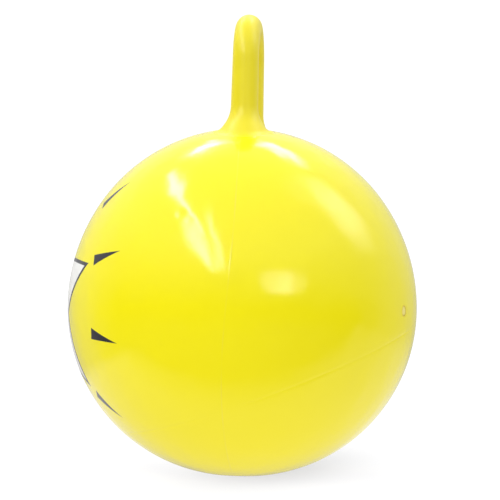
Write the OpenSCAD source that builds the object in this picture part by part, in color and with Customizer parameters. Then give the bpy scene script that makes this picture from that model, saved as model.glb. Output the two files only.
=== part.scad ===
// Hopper ball with a hollow loop handle and a pull-out valve plug, standing upright.
// The floor is z = 0, where the ball's own weight presses its underside flat.
// The ball's axis is the Z axis and +Z is up. The handle's loop lies in the YZ plane,
// the ball's front faces -X, and the valve sits at the back, on the ball's widest line.

/* [Ball] */
// Diameter of the blown-up ball at its widest
ball_d = 450; // [380:1:560]
// How much higher the crown stands than a true sphere's
crown_lift = 6.5; // [2:0.5:14]
// How much shallower the ball is below its widest line than a true sphere
base_drop = 8; // [4:0.5:16]
// How much larger the arc under the ball is than the ball's own radius
base_ease = 35; // [20:1:80]
// How far the floor presses the underside flat
floor_press = 3; // [1:0.5:6]
// Wall of the ball's skin
skin_t = 1.3; // [0.8:0.1:3]

/* [Handle] */
// Rise of the loop's top above the ball's crown
loop_rise = 149.5; // [125:0.5:190]
// Distance between the middles of the two limbs
limb_span = 94; // [80:1:116]
// Diameter of the tube in the bend over the top
grip_d = 33.4; // [26:0.2:37]
// Diameter of each limb just above its flared foot
limb_d = 34.8; // [27:0.2:39]
// Wall of the handle, which is moulded thicker than the skin
grip_t = 2.4; // [1.5:0.1:4]

/* [Foot] */
// Height on the limb's middle line at which the foot starts to flare
foot_h = 30; // [22:1:38]
// Radius of the hollow sweep that flares the foot
sweep_r = 42; // [34:1:50]
// Angle through which the sweep turns away from the limb
sweep_turn = 35; // [28:1:38]
// Drop of the straight skirt below the sweep, which dives into the ball
skirt_h = 24; // [20:1:34]

/* [Valve] */
// Turn of the valve about the ball's axis, from +X towards -Y
valve_turn = 22.5; // [0:0.5:75]
// Length of the valve seat, from the ball's surface inwards
seat_l = 21; // [14:0.5:32]
// Diameter of the seat's barrel
barrel_d = 15; // [13:0.5:20]
// Diameter of the flange that is welded to the inside of the skin
flange_d = 32; // [26:1:44]
// Thickness of that flange in its middle
flange_t = 2.2; // [1.5:0.1:4]
// Diameter of the cone that stiffens the barrel against the flange
collar_d = 22; // [20.5:0.5:25]
// Height of that cone
collar_h = 6; // [3:0.5:9]

/* [Plug] */
// Diameter of the plug's flat head
head_d = 11; // [9.5:0.5:12]
// Thickness of the head
head_t = 1.6; // [1:0.1:2.5]
// Bevel round the head's edge
head_bevel = 0.5; // [0.2:0.1:0.8]
// Diameter of the plug's stem
stem_d = 6; // [5:0.1:8]
// Length of the plug, from the head's top to the tip
plug_l = 25; // [20:0.5:38]
// Length of the stem's tapered tip
tip_l = 4; // [2:0.5:6]
// Diameter at the end of the tip
tip_d = 3.6; // [2:0.1:4]
// Depth of the sealing grooves in the stem
groove_t = 0.35; // [0.1:0.05:0.6]
// Width of each sealing groove
groove_w = 1.2; // [0.6:0.1:2]
// Distance from one groove to the next
groove_pitch = 3.6; // [3:0.1:4.5]
// Number of sealing grooves
groove_n = 3; // [1:1:3]

/* [Fits] */
// Radial clearance of the stem in its bore
stem_fit = 0.05; // [0.02:0.01:0.1]
// Gap round and under the plug's head
head_gap = 0.3; // [0.2:0.05:0.5]
// How far the head lies below the ball's surface
head_sink = 0.3; // [0.2:0.05:0.6]

/* [Hidden] */
$fn = 96;
// Finer steps for the ball, whose large radius would else show them
ball_fn = 288;

// The ball's outline is four arcs: crown and shoulder above its widest line, flank and base below.
ball_r = ball_d / 2;
crown_h = ball_r + crown_lift;
base_h = ball_r - base_drop;
widest_z = base_h - floor_press;
crown_z = widest_z + crown_h;
// The shoulder curves as the side of an ellipse of these two heights, and the crown meets it smoothly.
shoulder_r = crown_h * crown_h / ball_r;
crown_r = ball_r * (ball_r + crown_h) / (2 * crown_h);
shoulder_mid = shoulder_r - ball_r;
crown_mid = crown_h - crown_r;
crown_angle = atan2(crown_mid, shoulder_mid);
// The base's arc is set by hand, and the flank meets it smoothly.
base_r = ball_r + base_ease;
base_mid = base_r - base_h;
flank_mid = base_drop * (base_ease + base_mid) / (2 * base_ease);
flank_r = ball_r - flank_mid;
base_angle = atan2(flank_mid, base_mid);

// The handle's limbs stand on the crown's arc.
grip_r = grip_d / 2;
limb_r = limb_d / 2;
bend_r = limb_span / 2;
bend_z = crown_z + loop_rise - grip_r - bend_r;
limb_z = widest_z + crown_mid + sqrt(crown_r * crown_r - bend_r * bend_r);
flare_z = limb_z + foot_h - bend_z;

// The valve's parts are drawn about Z, which points out of the ball from its surface.
head_r = head_d / 2;
stem_r = stem_d / 2;
recess_h = head_sink + head_t + head_gap;
flange_h = skin_t + flange_t;
barrel_r = barrel_d / 2;
collar_r = collar_d / 2;

// Right half of the ball's outline, drawn in by an even amount, with its widest line on the X axis
module ball_outline(inset) {
    // shoulder, up to the ray on which it and the crown have one tangent
    intersection() {
        translate([-shoulder_mid, 0]) circle(shoulder_r - inset);
        polygon([
            [0, 0],
            [ball_d, 0],
            [ball_d, crown_mid + ball_d * tan(crown_angle)],
            [0, crown_mid],
        ]);
    }
    // crown
    intersection() {
        translate([0, crown_mid]) circle(crown_r - inset);
        square(ball_d);
    }
    // flank
    intersection() {
        translate([flank_mid, 0]) circle(flank_r - inset);
        translate([0, -ball_d]) square(ball_d);
    }
    // base, as far out as the ray on which it and the flank have one tangent
    intersection() {
        translate([0, base_mid]) circle(base_r - inset);
        polygon([
            [0, base_mid],
            [0, base_mid - ball_d],
            [ball_d * tan(base_angle), base_mid - ball_d],
        ]);
    }
}

// The ball as one solid, drawn in by an even amount, on the floor
module ball_solid(inset) {
    rotate_extrude($fn = ball_fn)
        difference() {
            translate([0, widest_z]) ball_outline(inset, $fn = ball_fn);
            translate([0, inset - ball_d]) square(ball_d);
        }
}

// Where the sweep ends and where the skirt below it ends, for a wall drawn in by an even amount
function sweep_end(inset) = [
    limb_r + sweep_r - (sweep_r + inset) * cos(sweep_turn),
    flare_z - (sweep_r + inset) * sin(sweep_turn),
];
function skirt_end(inset) = sweep_end(inset) + skirt_h * [tan(sweep_turn), -1];

// One limb about its own middle line, from the bend at z = 0 down its flared foot into the ball
module limb(inset) {
    rotate_extrude()
        difference() {
            polygon([
                [0, 0],
                [grip_r - inset, 0],
                [limb_r - inset, flare_z],
                sweep_end(inset),
                skirt_end(inset),
                [0, skirt_end(inset)[1]],
            ]);
            translate([limb_r + sweep_r, flare_z]) circle(sweep_r + inset);
        }
}

// The whole loop with both feet, drawn in by an even amount
module loop_solid(inset) {
    translate([0, 0, bend_z]) {
        for (side = [-1, 1])
            translate([0, side * bend_r, 0]) limb(inset);
        rotate([90, 0, 90])
            rotate_extrude(angle = 180)
                translate([bend_r, 0])
                    circle(grip_r - inset);
    }
}

// Places the valve's parts at the back of the ball, with Z pointing out of its surface
module at_valve() {
    rotate([0, 0, -valve_turn])
        translate([ball_r, 0, widest_z])
            rotate([0, 90, 0])
                children();
}

// Blown-up skin of even wall, open under the hollow handle and at the valve
module ball_skin() {
    color("gold")
        difference() {
            ball_solid(0);
            ball_solid(skin_t);
            loop_solid(grip_t);
            at_valve() cylinder(h = 2 * seat_l, d = barrel_d, center = true);
        }
}

// Hollow loop whose flared feet stand on the skin round the openings
module handle_loop() {
    color("gold")
        difference() {
            loop_solid(0);
            loop_solid(grip_t);
            ball_solid(0);
        }
}

// Seat of the plug: a barrel flush with the skin, on a flange welded to the skin's inside
module valve_seat() {
    color("khaki")
        difference() {
            union() {
                // barrel with its cone, which reaches half-way into the flange
                intersection() {
                    at_valve()
                        rotate_extrude()
                            polygon([
                                [0, -seat_l],
                                [barrel_r, -seat_l],
                                [barrel_r, -flange_h - collar_h],
                                [collar_r, -flange_h],
                                [collar_r, flange_t / 2 - flange_h],
                                [barrel_r, flange_t / 2 - flange_h],
                                [barrel_r, seat_l],
                                [0, seat_l],
                            ]);
                    ball_solid(0);
                }
                // flange
                intersection() {
                    at_valve() translate([0, 0, -flange_h]) cylinder(h = 2 * flange_h, d = flange_d);
                    ball_solid(skin_t);
                }
            }
            at_valve() {
                cylinder(h = 4 * seat_l, r = stem_r + stem_fit, center = true);
                cylinder(h = 2 * recess_h, r = head_r + head_gap, center = true);
            }
        }
}

// Plug with a bevelled head and a grooved, tapered stem
module valve_plug() {
    color("lemonchiffon")
        at_valve()
            translate([0, 0, -head_sink])
                rotate_extrude()
                    difference() {
                        polygon([
                            [0, 0],
                            [head_r - head_bevel, 0],
                            [head_r, -head_bevel],
                            [head_r, -head_t],
                            [stem_r, -head_t],
                            [stem_r, tip_l - plug_l],
                            [tip_d / 2, -plug_l],
                            [0, -plug_l],
                        ]);
                        for (i = [1:groove_n])
                            translate([stem_r - groove_t, -head_t - i * groove_pitch])
                                square([head_r, groove_w]);
                    }
}

ball_skin();
handle_loop();
valve_seat();
valve_plug();
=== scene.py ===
import math

import bmesh
import bpy
from mathutils import Matrix, Quaternion, Vector


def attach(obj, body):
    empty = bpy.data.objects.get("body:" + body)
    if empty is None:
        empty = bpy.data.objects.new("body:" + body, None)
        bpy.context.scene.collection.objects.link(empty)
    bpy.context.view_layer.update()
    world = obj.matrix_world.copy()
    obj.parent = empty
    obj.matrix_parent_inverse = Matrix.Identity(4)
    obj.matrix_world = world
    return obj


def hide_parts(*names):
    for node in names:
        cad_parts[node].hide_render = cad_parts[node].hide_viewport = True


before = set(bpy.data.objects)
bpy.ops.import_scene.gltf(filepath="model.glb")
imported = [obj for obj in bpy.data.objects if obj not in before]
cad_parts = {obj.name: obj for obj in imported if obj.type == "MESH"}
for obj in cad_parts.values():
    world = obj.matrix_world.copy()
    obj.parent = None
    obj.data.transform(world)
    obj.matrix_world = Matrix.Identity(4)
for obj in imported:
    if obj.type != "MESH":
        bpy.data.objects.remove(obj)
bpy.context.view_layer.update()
print("frame loaded:", ", ".join(sorted(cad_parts)))

# metres, +Z up, the floor at z = 0; the printed front faces -X and the valve is at the back
nearby = 1e-6  # a shorter length counts as nothing

camera = {
    "turn": math.radians(4.7),  # from straight at the side, towards the back
    "distance": 2.15,
    "height": 0.20,
    "aimHeight": 0.2886,
    "aimAside": 0.008,
    "roll": math.radians(1.5),
    "lens": 119.4,
    "sensor": 36,
    "farthest": 50,
}


def addCamera(c):
    aside = Vector((math.cos(c["turn"]), math.sin(c["turn"]), 0))
    away = Vector((math.sin(c["turn"]), -math.cos(c["turn"]), 0))
    place = away * c["distance"] + aside * c["aimAside"] + Vector((0, 0, c["height"]))
    aim = aside * c["aimAside"] + Vector((0, 0, c["aimHeight"]))
    data = bpy.data.cameras.new("sideCamera")
    data.lens, data.sensor_width, data.clip_end = c["lens"], c["sensor"], c["farthest"]
    cam = bpy.data.objects.new("sideCamera", data)
    bpy.context.collection.objects.link(cam)
    look = (aim - place).to_track_quat("-Z", "Y").to_matrix().to_4x4()
    cam.matrix_world = Matrix.Translation(place) @ look @ Matrix.Rotation(c["roll"], 4, "Z")
    bpy.context.scene.camera = cam
    print("camera set")


addCamera(camera)


class Num:
    # a number in a node tree, so that shader maths reads as a formula
    def __init__(self, sheet, socket):
        self.sheet, self.socket = sheet, socket

    def op(self, kind, *others):
        node = self.sheet.make("ShaderNodeMath", {"operation": kind}, [self, *others])
        return Num(self.sheet, node.outputs[0])

    def __add__(self, other):
        return self.op("ADD", other)

    def __sub__(self, other):
        return self.op("SUBTRACT", other)

    def __rsub__(self, other):
        return (self * -1).op("ADD", other)

    def __mul__(self, other):
        return self.op("MULTIPLY", other)

    __rmul__ = __mul__

    def __truediv__(self, other):
        return self.op("DIVIDE", other)

    def __abs__(self):
        return self.op("ABSOLUTE")

    def below(self, limit, soft):
        # 1 well under the limit, 0 well over it, with a soft step between
        return ((limit - self) / soft + 0.5).clamped()

    def clamped(self):
        node = self.sheet.make("ShaderNodeClamp", {}, [self])
        return Num(self.sheet, node.outputs[0])

    def bell(self, width):
        # 1 at zero, falling off smoothly to both sides
        return (self * self * (-1 / (width * width))).op("EXPONENT")


class Sheet:
    # the node tree of a material, a lamp or the world
    def __init__(self, owner):
        owner.use_nodes = True
        self.tree = owner.node_tree
        self.tree.nodes.clear()

    def feed(self, socket, value):
        if isinstance(value, Num):
            value = value.socket
        if isinstance(value, bpy.types.NodeSocket):
            self.tree.links.new(value, socket)
        else:
            socket.default_value = value

    def make(self, kind, settings, sockets):
        node = self.tree.nodes.new(kind)
        for name, value in settings.items():
            setattr(node, name, value)
        pairs = sockets.items() if isinstance(sockets, dict) else enumerate(sockets)
        for name, value in pairs:
            self.feed(node.inputs[name], value)
        return node

    def place(self):
        # the object's own coordinates as three numbers
        coords = self.make("ShaderNodeTexCoord", {}, {})
        split = self.make("ShaderNodeSeparateXYZ", {}, [coords.outputs["Object"]])
        return coords.outputs["Object"], [Num(self, split.outputs[i]) for i in range(3)]

    def noise(self, where, scale, detail):
        # from about -0.5 to 0.5
        sockets = {"Vector": where, "Scale": scale, "Detail": detail}
        return Num(self, self.make("ShaderNodeTexNoise", {}, sockets).outputs[0]) - 0.5

    def mixed(self, share, first, second):
        # a Mix node has sockets for every kind of value, and only those for colours are enabled
        node = self.make("ShaderNodeMix", {"data_type": "RGBA"}, {})
        for name, value in {"Factor": share, "A": first, "B": second}.items():
            self.feed(next(i for i in node.inputs if i.name == name and i.enabled), value)
        return next(o for o in node.outputs if o.enabled)


plasticIor = 1.5


def finishSurface(sheet, colour, rough, height):
    bump = sheet.make("ShaderNodeBump", {}, {"Height": height, "Distance": 1.0, "Strength": 1.0})
    sockets = {"Base Color": colour, "Roughness": rough, "Normal": bump.outputs[0], "IOR": plasticIor}
    shader = sheet.make("ShaderNodeBsdfPrincipled", {}, sockets)
    sheet.make("ShaderNodeOutputMaterial", {}, {"Surface": shader.outputs[0]})


def startEdit():
    bpy.ops.object.mode_set(mode="EDIT")
    bpy.ops.mesh.select_mode(type="VERT")


def endEdit():
    bpy.ops.object.mode_set(mode="OBJECT")


def deselectAll():
    if bpy.context.object and bpy.context.object.mode != "OBJECT":
        endEdit()
    bpy.ops.object.select_all(action="DESELECT")


def pickVerts(piece, test):
    mesh = bmesh.from_edit_mesh(piece.data)
    for v in mesh.verts:
        v.select = test(v.co)
    mesh.select_flush_mode()
    bmesh.update_edit_mesh(piece.data)


def growRing(fromRing, toRing, middle=(0, 0)):
    # pulls the selected ring to the next radius and height, leaving a band of faces behind it
    (r0, z0), (r1, z1) = fromRing, toRing
    bpy.ops.mesh.extrude_edges_move(TRANSFORM_OT_translate={"value": (0, 0, z1 - z0)})
    bpy.ops.transform.resize(value=(r1 / r0, r1 / r0, 1), center_override=(middle[0], middle[1], z1))


def closeUp(piece, smoothAngle):
    startEdit()
    bpy.ops.mesh.select_all(action="SELECT")
    bpy.ops.mesh.remove_doubles(threshold=nearby)
    bpy.ops.mesh.normals_make_consistent(inside=False)
    endEdit()
    bpy.ops.object.transform_apply(location=True, rotation=True, scale=True)
    bpy.ops.object.shade_smooth_by_angle(angle=smoothAngle)
    print(piece.name, "has", len(piece.data.polygons), "faces")


ball = {
    "radius": 0.225,
    "crownLift": 0.0065,  # how much higher the crown is than a true sphere's
    "baseDrop": 0.008,  # how much shallower the underside is
    "baseEase": 0.035,  # how much larger the radius under the ball is
    "floorPress": 0.003,  # how far the floor presses the underside flat
    "sides": 240,
    "baseSteps": 4,
    "flankSteps": 40,
    "shoulderSteps": 22,
    "crownSteps": 40,
    "crownEnd": math.radians(179.4),  # where the last ring stands round the crown's middle
    "patchBands": (0.002, 0.018),
    "valveTurn": math.radians(22.5),
    "valveHole": 0.00755,  # just wider than the seat's barrel
    "valveDepth": 0.0216,  # just deeper than the seat is long
    "valveSides": 96,
    "valveCut": 0.04,
    "smoothAngle": math.radians(40),
}


def ballArcs(b):
    # height of the widest line and the top, and middle and radius of the four arcs of the outline
    r, high, low = b["radius"], b["radius"] + b["crownLift"], b["radius"] - b["baseDrop"]
    widest = low - b["floorPress"]
    baseMid = r + b["baseEase"] - low
    flankMid = b["baseDrop"] * (b["baseEase"] + baseMid) / (2 * b["baseEase"])
    shoulderRadius = high * high / r
    crownRadius = r * (r + high) / (2 * high)
    return {
        "widest": widest,
        "top": widest + high,
        "base": ((0, widest + baseMid), r + b["baseEase"]),
        "flank": ((flankMid, widest), r - flankMid),
        "shoulder": ((r - shoulderRadius, widest), shoulderRadius),
        "crown": ((0, widest + high - crownRadius), crownRadius),
    }


ball.update(ballArcs(ball))


def arcPoints(middle, radius, start, end, steps):
    # radius and height of points on one arc of the outline, angles from straight down
    out = []
    for i in range(steps + 1):
        a = start + (end - start) * i / steps
        out.append((middle[0] + radius * math.sin(a), middle[1] - radius * math.cos(a)))
    return out


def ballOutline(b):
    level = math.pi / 2
    base, baseRadius = b["base"]
    flank, flankRadius = b["flank"]
    shoulder, shoulderRadius = b["shoulder"]
    crown, crownRadius = b["crown"]
    patchAngle = math.acos(base[1] / baseRadius)
    baseAngle = math.atan2(flank[0], base[1] - b["widest"])
    crownAngle = level + math.atan2(crown[1] - b["widest"], -shoulder[0])
    rings = arcPoints(base, baseRadius, patchAngle, baseAngle, b["baseSteps"])
    rings += arcPoints(flank, flankRadius, baseAngle, level, b["flankSteps"])[1:]
    rings += arcPoints(shoulder, shoulderRadius, level, crownAngle, b["shoulderSteps"])[1:]
    rings += arcPoints(crown, crownRadius, crownAngle, b["crownEnd"], b["crownSteps"])[1:]
    return rings


def buildBall(b):
    deselectAll()
    rings = ballOutline(b)
    radius, z = rings[0]
    bpy.ops.mesh.primitive_circle_add(vertices=b["sides"], radius=radius, location=(0, 0, z))
    skin = bpy.context.object
    skin.name = "ballSkin"
    bpy.ops.object.transform_apply(location=True)
    startEdit()
    bpy.ops.mesh.select_all(action="SELECT")
    for fromRing, toRing in zip(rings, rings[1:]):
        growRing(fromRing, toRing)
    lift = b["top"] - rings[-1][1]
    bpy.ops.mesh.extrude_edges_move(TRANSFORM_OT_translate={"value": (0, 0, lift)})
    bpy.ops.mesh.merge(type="CENTER")
    # the patch pressed flat by the floor is closed with two bands and a last face
    pickVerts(skin, lambda v: v.z < nearby)
    bpy.ops.mesh.edge_face_add()
    for band in b["patchBands"]:
        bpy.ops.mesh.inset(thickness=band)
    endEdit()
    cutValvePocket(skin, b)
    closeUp(skin, b["smoothAngle"])
    return skin


def cutValvePocket(skin, b):
    # a pocket takes the valve's barrel
    deselectAll()
    out = Vector((math.cos(b["valveTurn"]), -math.sin(b["valveTurn"]), 0))
    middle = out * (b["radius"] - b["valveDepth"] + b["valveCut"] / 2) + Vector((0, 0, b["widest"]))
    bpy.ops.mesh.primitive_cylinder_add(
        vertices=b["valveSides"],
        radius=b["valveHole"],
        depth=b["valveCut"],
        location=middle,
        rotation=out.to_track_quat("Z", "Y").to_euler(),
    )
    cutter = bpy.context.object
    deselectAll()
    skin.select_set(True)
    bpy.context.view_layer.objects.active = skin
    cut = skin.modifiers.new("valvePocket", "BOOLEAN")
    cut.operation, cut.object, cut.solver = "DIFFERENCE", cutter, "EXACT"
    bpy.ops.object.modifier_apply(modifier=cut.name)
    bpy.data.objects.remove(cutter, do_unlink=True)


def crownHeight(x, y):
    (_, z), r = ball["crown"]
    return z + math.sqrt(r * r - x * x - y * y)


handle = {
    "gripRadius": 0.0167,  # of the tube in the bend
    "limbRadius": 0.0174,  # and just above the feet
    "limbSpan": 0.094,
    "rise": 0.1495,  # of the loop's top above the crown
    "footHeight": 0.030,  # above the skin, where the foot starts to flare
    "sweepRadius": 0.042,
    "sweepTurn": math.radians(35),
    "fillet": 0.0075,
    "sides": 96,
    "bendSteps": 64,
    "limbRings": 10,
    "footRings": 26,
    "filletRings": 10,
    "ringDrop": 0.001,  # from ring to ring while a foot is still a plain tube
    "footReach": 0.07,  # longer than any line down a foot
    "halvings": 40,  # in the search for where the foot meets the ball
    "hemShare": 0.15,  # of the fillet's last step, by which its edge goes on
    "hemDrop": 0.0012,  # and dives into the ball
    "angleDigits": 4,  # by which points above one another share one line down the foot
    "smoothAngle": math.radians(60),
}
handle["bendRadius"] = handle["limbSpan"] / 2
handle["bendHeight"] = ball["top"] + handle["rise"] - handle["gripRadius"] - handle["bendRadius"]
handle["flareHeight"] = crownHeight(0, handle["bendRadius"]) + handle["footHeight"]


def footProfile(h, s):
    # radius and height of the flared foot, a length s along its surface below the limb
    arc = h["sweepRadius"] * h["sweepTurn"]
    a = min(s, arc) / h["sweepRadius"]
    r = h["limbRadius"] + h["sweepRadius"] * (1 - math.cos(a))
    z = h["flareHeight"] - h["sweepRadius"] * math.sin(a)
    rest = max(0.0, s - arc)
    return r + rest * math.sin(h["sweepTurn"]), z - rest * math.cos(h["sweepTurn"])


def footColumn(h, side, angle):
    # the points down one line of the foot: the sweep, then a small fillet that runs out on the ball
    across = Vector((math.cos(angle), math.sin(angle), 0))
    middle = Vector((0, side * h["bendRadius"], 0))

    def onFoot(s):
        r, z = footProfile(h, s)
        return middle + across * r + Vector((0, 0, z))

    low, high = 0.0, h["footReach"]
    for _ in range(h["halvings"]):
        s = (low + high) / 2
        p = onFoot(s)
        if p.z > crownHeight(p.x, p.y):
            low = s
        else:
            high = s
    crease = onFoot(low)
    start = onFoot(low - h["fillet"])
    reach = (crease - middle).to_2d().length + h["fillet"]
    end = middle + across * reach
    end.z = crownHeight(end.x, end.y)
    end = crease + (end - crease).normalized() * h["fillet"]
    end.z = crownHeight(end.x, end.y)
    column = [onFoot((low - h["fillet"]) * i / h["footRings"]) for i in range(1, h["footRings"])]
    for i in range(h["filletRings"] + 1):
        t = i / h["filletRings"]
        column.append(start * (1 - t) ** 2 + crease * 2 * t * (1 - t) + end * t * t)
    column.append(end + (end - crease) * h["hemShare"] - Vector((0, 0, h["hemDrop"])))
    return column


def buildHandle(h):
    deselectAll()
    bpy.ops.mesh.primitive_circle_add(
        vertices=h["sides"], radius=h["gripRadius"], location=(0, -h["bendRadius"], h["bendHeight"])
    )
    loop = bpy.context.object
    loop.name = "handleLoop"
    bpy.ops.object.transform_apply(location=True)
    startEdit()
    bpy.ops.mesh.select_all(action="SELECT")
    bpy.ops.mesh.spin(steps=h["bendSteps"], angle=math.pi, center=(0, 0, h["bendHeight"]), axis=(1, 0, 0))
    wider, lower = h["limbRadius"] - h["gripRadius"], h["bendHeight"] - h["flareHeight"]
    shares = [i / h["limbRings"] for i in range(h["limbRings"] + 1)]
    limb = [(h["gripRadius"] + wider * i, h["bendHeight"] - lower * i) for i in shares]
    for side in (-1, 1):
        middle = (0, side * h["bendRadius"])
        pickVerts(loop, lambda v: abs(v.z - h["bendHeight"]) < nearby and v.y * side > 0)
        for fromRing, toRing in zip(limb, limb[1:]):
            growRing(fromRing, toRing, middle)
        z = h["flareHeight"]
        for i in range(h["footRings"] + h["filletRings"] + 1):
            growRing((1, z), (1, z - h["ringDrop"]), middle)
            z -= h["ringDrop"]
    layFeet(loop, h)
    endEdit()
    closeUp(loop, h["smoothAngle"])
    return loop


def layFeet(loop, h):
    # each ring of a foot is laid on the sweep and the fillet
    mesh = bmesh.from_edit_mesh(loop.data)
    columns, moves = {}, []
    for v in mesh.verts:
        depth = round((h["flareHeight"] - v.co.z) / h["ringDrop"])
        if depth >= 1:
            side = 1 if v.co.y > 0 else -1
            bearing = math.atan2(v.co.y - side * h["bendRadius"], v.co.x)
            angle = round(bearing, h["angleDigits"])
            if (side, angle) not in columns:
                columns[side, angle] = footColumn(h, side, angle)
            moves.append((v, columns[side, angle][depth - 1]))
    for v, place in moves:
        v.co = place
    bmesh.update_edit_mesh(loop.data)


# each noise has its scale and its detail
pvc = {
    "clouds": (7.0, 2.0),
    "mottle": (42.0, 3.0),
    "grain": (900.0, 2.0),
    "swell": (5.5, 1.0),
    "ripple": (20.0, 1.0),
    "dimple": (45.0, 0.0),
    "cloudShare": 0.6,
    "mottleShare": 0.4,
    "cloudMiddle": 0.25,
    "mottleRough": 0.04,
    "grainRough": 0.03,
    "grainHeight": 0.000003,
    "seamWidth": 0.0008,
    "seamHeight": 0.0001,
    "seamWaves": 14.54,  # of its wander, in radians for each metre of height
    "seamColour": (0.78, 0.70, 0.10, 1),
    "wornMiddle": 0.4,
    "wornSlope": 2.4,
}

ballFinish = {
    "colour": (0.865, 0.785, 0.006, 1),
    "paler": (0.885, 0.805, 0.012, 1),
    "rough": 0.135,
    "swell": 0.0035,
    "ripple": 0.0012,
    "dimple": 0.00045,
    "mottle": 0.00006,
    "seamWander": 0.005,
    "seamPaleness": 0.5,
}

# the handle is the same PVC as the ball, but its two colours are painted darker: painted shade for the weaker
# light it gets high above the floor
handleShadedFinish = {
    "colour": (0.83, 0.72, 0.008, 1),
    "paler": (0.85, 0.74, 0.012, 1),
    "rough": 0.39,
    "swell": 0.0008,
    "ripple": 0.0,
    "dimple": 0.0,
    "mottle": 0.00002,
    "seamWander": 0.0,
    "seamPaleness": 0.12,
}


def skinSurface(s, where, place, f):
    # colour, roughness and height of the moulded skin
    x, _, z = place
    names = ("clouds", "mottle", "grain", "swell", "ripple", "dimple")
    clouds, mottle, grain, swell, ripple, dimple = (s.noise(where, *pvc[name]) for name in names)
    cloudy = (clouds * pvc["cloudShare"] + mottle * pvc["mottleShare"] + pvc["cloudMiddle"]).clamped()
    rough = mottle * pvc["mottleRough"] + grain * pvc["grainRough"] + f["rough"]
    height = swell * f["swell"] + ripple * f["ripple"] + dimple * f["dimple"]
    height = height + mottle * f["mottle"] + grain * pvc["grainHeight"]
    # a fine raised line, paler and worn in patches, where the mould's halves met
    drift = ((z - ball["widest"]) * pvc["seamWaves"]).op("SINE") * f["seamWander"]
    unworn = (ripple * pvc["wornSlope"] + pvc["wornMiddle"]).clamped()
    seam = (x - drift).bell(pvc["seamWidth"]) * unworn
    height = height + seam * pvc["seamHeight"]
    colour = s.mixed(cloudy, f["colour"], f["paler"])
    colour = s.mixed(seam * f["seamPaleness"], colour, pvc["seamColour"])
    return colour, rough, height


ballMarks = {
    "foldPlane": (0.363, 0.119, -0.925, 0.1055),  # its normal, and how far it passes from the floor's middle
    "foldWidth": 0.0016,
    "foldDepth": 0.00022,
    "foldBreak": -0.005,  # where along X the fold runs out for a while
    "foldBreakWidth": 0.028,
    "crumple": 0.0013,
    "crumpleNoise": (55.0, 0.0),
    "crumpleReach": 0.028,  # down from the crown
    # places from the ball's middle, widths and depths of the small dents
    "dents": [((-0.061, -0.190, 0.108), 0.007, 0.00045), ((-0.049, -0.196, 0.100), 0.006, 0.0002)],
}


def foldHeight(place, m):
    # a shallow line across the lower part, left from the fold in which the empty ball was packed
    a, b, c, off = m["foldPlane"]
    x, y, z = place
    away = x * a + y * b + z * c + off
    unbroken = 1 - (x - m["foldBreak"]).bell(m["foldBreakWidth"])
    return away.bell(m["foldWidth"]) * unbroken * -m["foldDepth"]


def dentHeight(place, dent):
    (px, py, pz), width, depth = dent
    x, y, z = place[0] - px, place[1] - py, place[2] - (ball["widest"] + pz)
    return ((x * x + y * y + z * z) * (-1 / (width * width))).op("EXPONENT") * -depth


def markBall(s, where, place, surface):
    # what packing and blowing up leave: the fold, two dents, and a slight crumple round the feet
    colour, rough, height = surface
    m = ballMarks
    nearFeet = (place[2] - ball["top"]).bell(m["crumpleReach"])
    height = height + s.noise(where, *m["crumpleNoise"]) * nearFeet * m["crumple"]
    height = height + foldHeight(place, m)
    for dent in m["dents"]:
        height = height + dentHeight(place, dent)
    return colour, rough, height


# the first two are in metres, and all other lengths on the print are angles about the ball's middle
ballPrint = {
    "middleHeight": 0.222,
    "frontEdge": 0.001,
    "points": 5,
    "starReach": 0.64,  # of the star's tips
    "starWaist": 0.31,  # of the corners between them
    "outline": 0.022,
    "rayFrom": 0.70,
    "rayTo": 0.93,
    "rayWidth": 0.034,
    "edge": 0.004,
    "rayEdge": 0.003,
    "inkDark": (0.022, 0.022, 0.028, 1),
    "inkWhite": (0.86, 0.87, 0.86, 1),
    "inkRough": 0.10,
    "inkHeight": 0.00004,
}


def folded(bearing, sector):
    # how far a bearing lies from the middle line of its sector, where one sector points straight up
    turns = (bearing - math.pi / 2) / sector + 0.5
    return abs(turns.op("FRACT") * sector - sector / 2)


def printBall(s, where, place, surface):
    # a five-point star with a dark outline on the front, and a ring of short dark rays
    colour, rough, height = surface
    p = ballPrint
    x, y, z = place
    front = x.below(0.0, p["frontEdge"])
    reach = (x / -ball["radius"]).clamped().op("ARCCOSINE")
    bearing = (z - p["middleHeight"]).op("ARCTAN2", y)
    tipSector = 2 * math.pi / p["points"]
    tip, waist = p["starReach"], p["starWaist"]
    half = tipSector / 2
    normal = Vector((waist * math.sin(half), tip - waist * math.cos(half))).normalized()
    turn = folded(bearing, tipSector)
    beyond = reach * turn.op("COSINE") * normal.x + reach * turn.op("SINE") * normal.y - tip * normal.x
    star = beyond.below(-p["outline"], p["edge"]) * front
    rim = beyond.below(0.0, p["edge"]) * front
    along = (reach - p["rayFrom"]) / (p["rayTo"] - p["rayFrom"])
    aside = folded(bearing, half) * reach - p["rayWidth"] * (1 - along)
    ray = aside.below(0.0, p["rayEdge"]) * reach.below(p["rayTo"], p["rayEdge"])
    ray = ray * (1 - reach.below(p["rayFrom"], p["rayEdge"])) * front
    dark = (rim + ray).clamped()
    ink = (dark + star).clamped()
    colour = s.mixed(dark, colour, p["inkDark"])
    colour = s.mixed(star, colour, p["inkWhite"])
    return colour, rough + ink * p["inkRough"], height + ink * p["inkHeight"]


def paintSkin(piece, finish, *layers):
    material = bpy.data.materials.new(piece.name + "Pvc")
    s = Sheet(material)
    where, place = s.place()
    surface = skinSurface(s, where, place, finish)
    for layer in layers:
        surface = layer(s, where, place, surface)
    finishSurface(s, *surface)
    piece.data.materials.clear()
    piece.data.materials.append(material)
    print(piece.name, "painted")


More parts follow.
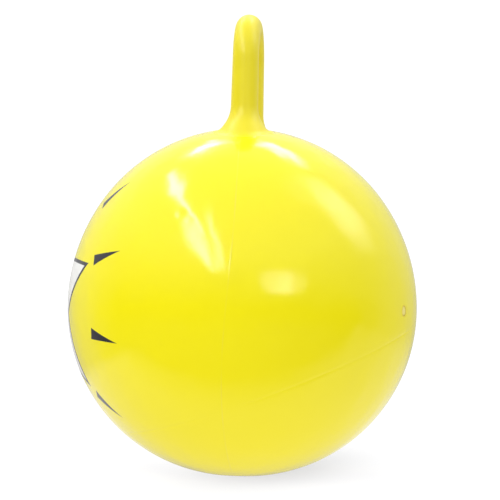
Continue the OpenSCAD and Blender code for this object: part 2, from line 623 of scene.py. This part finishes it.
valveFinish = {
    "valve_seat": {"colour": (0.80, 0.66, 0.02, 1), "rough": 0.38, "grain": (1400.0, 2.0)},
    "valve_plug": {"colour": (0.90, 0.80, 0.20, 1), "rough": 0.30, "grain": (1800.0, 2.0)},
    "dust": (260.0, 3.0),
    "dustMiddle": 0.3,
    "dustSlope": 1.6,
    "dustShade": 0.86,
    "grainRough": 0.12,
    "grainHeight": 0.00002,
}


def paintValve(name, v):
    node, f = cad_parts[name], v[name]
    material = bpy.data.materials.new(node.name + "Finish")
    s = Sheet(material)
    where, _ = s.place()
    dust = (s.noise(where, *v["dust"]) * v["dustSlope"] + v["dustMiddle"]).clamped()
    grain = s.noise(where, *f["grain"])
    darker = tuple(c * v["dustShade"] for c in f["colour"][:3]) + (1,)
    tone = s.mixed(dust, f["colour"], darker)
    finishSurface(s, tone, grain * v["grainRough"] + f["rough"], grain * v["grainHeight"])
    for slot in node.material_slots:
        slot.material = material
    print(node.name, "painted")


ballSkin = buildBall(ball)
paintSkin(ballSkin, ballFinish, markBall, printBall)
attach(ballSkin, "ball")
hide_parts("ball_skin")

handleLoop = buildHandle(handle)
paintSkin(handleLoop, handleShadedFinish)
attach(handleLoop, "ball")
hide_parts("handle_loop")

for name in ("valve_seat", "valve_plug"):
    paintValve(name, valveFinish)

# three sheets on one floor: one is seen, one lights the ball from below and one mirrors in it
studio = {
    "seenHeight": -0.0002,
    "bounceHeight": -0.0004,
    "sheenHeight": -0.0001,
    "tone": (0.20, 0.175, 0.09),
    "toneDrift": 1.02,
    "toneNoise": (3.0, 2.0),
    "matt": 0.5,
    "glow": (0.82, 0.852, 0.963),  # as of a floor lit from below, which keeps the shadow faint and grey
    "paintedShadow": 0.27,  # painted shadow: how much that glow is dimmed round where the ball stands
    "paintedShadowMiddle": (0.05, 0.13),
    "paintedShadowTurn": math.radians(82),
    "paintedShadowLong": 0.34,
    "paintedShadowWide": 0.09,
    "bounce": (1.17, 1.10, 1.0),  # what lights the ball from below
    "sheen": 1.0,  # what mirrors in the ball's lower half, as a pale table with a front edge
    # a painted shadow on the mirrored table, round the ball's foot
    "sheenPaintedShadow": 0.6,
    "sheenPaintedShadowWidth": 0.16,
    "reach": 2.2,  # of the other two sheets from the middle
    "fade": 1.5,  # over which they thin out
    "tableLow": (-0.55, -0.325),  # its front left corner
    "tableHigh": (2.0, 2.0),
    "tableFadeLow": 0.12,
    "tableFadeHigh": 1.8,
}


def paperShader(s, where, place, st):
    paler = tuple(c * st["toneDrift"] for c in st["tone"]) + (1,)
    colour = s.mixed(s.noise(where, *st["toneNoise"]) + 0.5, st["tone"] + (1,), paler)
    matt = s.make("ShaderNodeBsdfDiffuse", {}, {"Color": colour, "Roughness": st["matt"]})
    # a painted shadow: the glow is dimmed in a long soft patch round the ball's foot
    x, y = (place[i] - st["paintedShadowMiddle"][i] for i in range(2))
    along = x * math.cos(st["paintedShadowTurn"]) + y * math.sin(st["paintedShadowTurn"])
    across = y * math.cos(st["paintedShadowTurn"]) - x * math.sin(st["paintedShadowTurn"])
    paintedShadow = along.bell(st["paintedShadowLong"]) * across.bell(st["paintedShadowWide"])
    shadowedGlow = tuple(c - st["paintedShadow"] for c in st["glow"]) + (1,)
    light = s.make("ShaderNodeEmission", {}, {"Color": s.mixed(paintedShadow, st["glow"] + (1,), shadowedGlow)})
    return s.make("ShaderNodeAddShader", {}, [matt.outputs[0], light.outputs[0]])


def addPlane(name, low, high, z, fade, surface):
    # a level sheet whose surface thins out to nothing towards its edges
    deselectAll()
    middle = ((low[0] + high[0]) / 2, (low[1] + high[1]) / 2, z)
    bpy.ops.mesh.primitive_plane_add(size=1, location=middle)
    piece = bpy.context.object
    piece.name = name
    piece.scale = (high[0] - low[0], high[1] - low[1], 1)
    bpy.ops.object.transform_apply(location=True, rotation=True, scale=True)
    material = bpy.data.materials.new(name + "Paper")
    s = Sheet(material)
    where, place = s.place()
    inward = 1
    for i in range(2):
        inward = ((place[i] - low[i]) / fade[0]).clamped() * inward
        inward = ((high[i] - place[i]) / fade[1]).clamped() * inward
    clear = s.make("ShaderNodeBsdfTransparent", {}, {})
    whole = surface(s, where, place)
    faded = s.make("ShaderNodeMixShader", {}, [inward, clear.outputs[0], whole.outputs[0]])
    s.make("ShaderNodeOutputMaterial", {}, {"Surface": faded.outputs[0]})
    piece.data.materials.append(material)
    return piece


def addFloor(st):
    low, high = (-st["reach"], -st["reach"]), (st["reach"], st["reach"])
    wideFade, tableFade = (st["fade"], st["fade"]), (st["tableFadeLow"], st["tableFadeHigh"])

    def paper(s, where, place):
        return paperShader(s, where, place, st)

    def bounce(s, where, place):
        return s.make("ShaderNodeEmission", {}, {"Color": st["bounce"] + (1,)})

    def sheen(s, where, place):
        # a painted shadow: dimmer round the ball's foot
        paintedShadowDip = place[0].bell(st["sheenPaintedShadowWidth"]) * place[1].bell(st["sheenPaintedShadowWidth"])
        return s.make("ShaderNodeEmission", {}, {"Color": st["sheen"] - paintedShadowDip * st["sheenPaintedShadow"]})

    seen = addPlane("floor", low, high, st["seenHeight"], wideFade, paper)
    seen.visible_glossy = seen.visible_diffuse = False
    under = addPlane("floorBounce", low, high, st["bounceHeight"], wideFade, bounce)
    under.visible_camera = under.visible_glossy = under.visible_shadow = False
    table = addPlane("floorSheen", st["tableLow"], st["tableHigh"], st["sheenHeight"], tableFade, sheen)
    table.visible_camera = table.visible_diffuse = table.visible_shadow = False
    print("floor laid")


# Soft boxes, each with the place of its middle, its width and length, its radiance, and the widths over which
# its light fades at the sides and the ends. A panel points straight down unless it has an aim, and its turn
# is in degrees about that line.
panels = {
    # four over the left side, whose mirror image is the forked streak
    "panelLeft": {
        "middle": (-0.93, -0.75, 1.75),
        "size": (0.25, 2.6),
        "strength": 15.0,
        "soft": (0.12, 0.5),
    },
    "panelLeftLow": {
        "middle": (-1.07, -2.35, 1.75),
        "size": (0.55, 2.9),
        "strength": 13.0,
        "soft": (0.25, 0.8),
    },
    "panelLeftInner": {
        "middle": (-0.62, -2.40, 1.75),
        "size": (0.15, 3.5),
        "strength": 12.0,
        "soft": (0.06, 1.0),
        "turn": -4,
    },
    "panelLeftEnd": {
        "middle": (-0.90, -3.90, 1.75),
        "size": (0.80, 0.70),
        "strength": 9.0,
        "soft": (0.25, 0.25),
    },
    # two behind, for the bars beside the foot
    "panelBackLeft": {
        "middle": (-0.46, 0.79, 1.65),
        "size": (0.64, 0.40),
        "strength": 10.0,
        "soft": (0.26, 0.19),
        "turn": 54,
    },
    "panelBackRight": {
        "middle": (0.27, 0.67, 1.65),
        "size": (0.84, 0.34),
        "strength": 9.0,
        "soft": (0.30, 0.16),
        "turn": -36,
    },
    # two weaker ones, for the soft highlight on the right and the spot in the middle
    "panelRight": {
        "middle": (1.20, 0.12, 1.50),
        "aim": (0.13, -0.15, 0.32),
        "size": (0.95, 1.9),
        "strength": 3.2,
        "soft": (0.47, 0.95),
    },
    "panelFront": {
        "middle": (2.75, -4.62, 1.72),
        "aim": (0, 0, 0.23),
        "size": (3.3, 1.5),
        "strength": 5.0,
        "soft": (1.6, 0.75),
    },
}


def addPanel(name, p):
    (wide, long), middle = p["size"], Vector(p["middle"])
    data = bpy.data.lights.new(name, "AREA")
    data.shape, data.size, data.size_y = "RECTANGLE", wide, long
    data.energy = p["strength"] * math.pi * wide * long
    s = Sheet(data)
    spot = s.make("ShaderNodeNewGeometry", {}, {})
    split = s.make("ShaderNodeSeparateXYZ", {}, [spot.outputs["Parametric"]])
    fade = 1
    for i in range(2):
        fromEdge = 0.5 - abs(Num(s, split.outputs[i]) - 0.5)
        inward = (fromEdge * (p["size"][i] / p["soft"][i])).clamped()
        fade = inward * inward * (3 - 2 * inward) * fade
    light = s.make("ShaderNodeEmission", {}, {"Color": fade})
    s.make("ShaderNodeOutputLight", {}, {"Surface": light.outputs[0]})
    lamp = bpy.data.objects.new(name, data)
    bpy.context.collection.objects.link(lamp)
    lamp.location = middle
    towards = Vector(p["aim"]) - middle if "aim" in p else Vector((0, 0, -1))
    turned = Quaternion((0, 0, 1), math.radians(p.get("turn", 0)))
    lamp.rotation_euler = (towards.to_track_quat("-Z", "Y") @ turned).to_euler()


# the room: bright above, half as bright behind, nearly dark in front and below
room = {
    "dark": 0.03,
    "above": 0.95,
    "upFrom": -0.02,
    "upOver": 0.6,
    "behind": 0.50,
    "backFrom": -0.10,
    "backOver": 0.5,
    "seen": 1.1,  # by the camera, as plain white
}


def addWorld(r):
    world = bpy.data.worlds.new("studioRoom")
    bpy.context.scene.world = world
    s = Sheet(world)
    coords = s.make("ShaderNodeTexCoord", {}, {})
    split = s.make("ShaderNodeSeparateXYZ", {}, [coords.outputs["Generated"]])
    y, z = (Num(s, split.outputs[i]) for i in (1, 2))
    up = ((z - r["upFrom"]) / r["upOver"]).clamped()
    back = ((y - r["backFrom"]) / r["backOver"]).clamped()
    level = up * r["above"] + back * (1 - up) * r["behind"] + r["dark"]
    path = s.make("ShaderNodeLightPath", {}, {})
    seen = Num(s, path.outputs["Is Camera Ray"])
    background = s.make("ShaderNodeBackground", {}, {"Color": level * (1 - seen) + seen * r["seen"]})
    s.make("ShaderNodeOutputWorld", {}, {"Surface": background.outputs[0]})
    print("room lit")


addFloor(studio)
addWorld(room)
for name, panel in panels.items():
    addPanel(name, panel)
print("panels hung")
bpy.context.scene.view_settings.view_transform = "Standard"
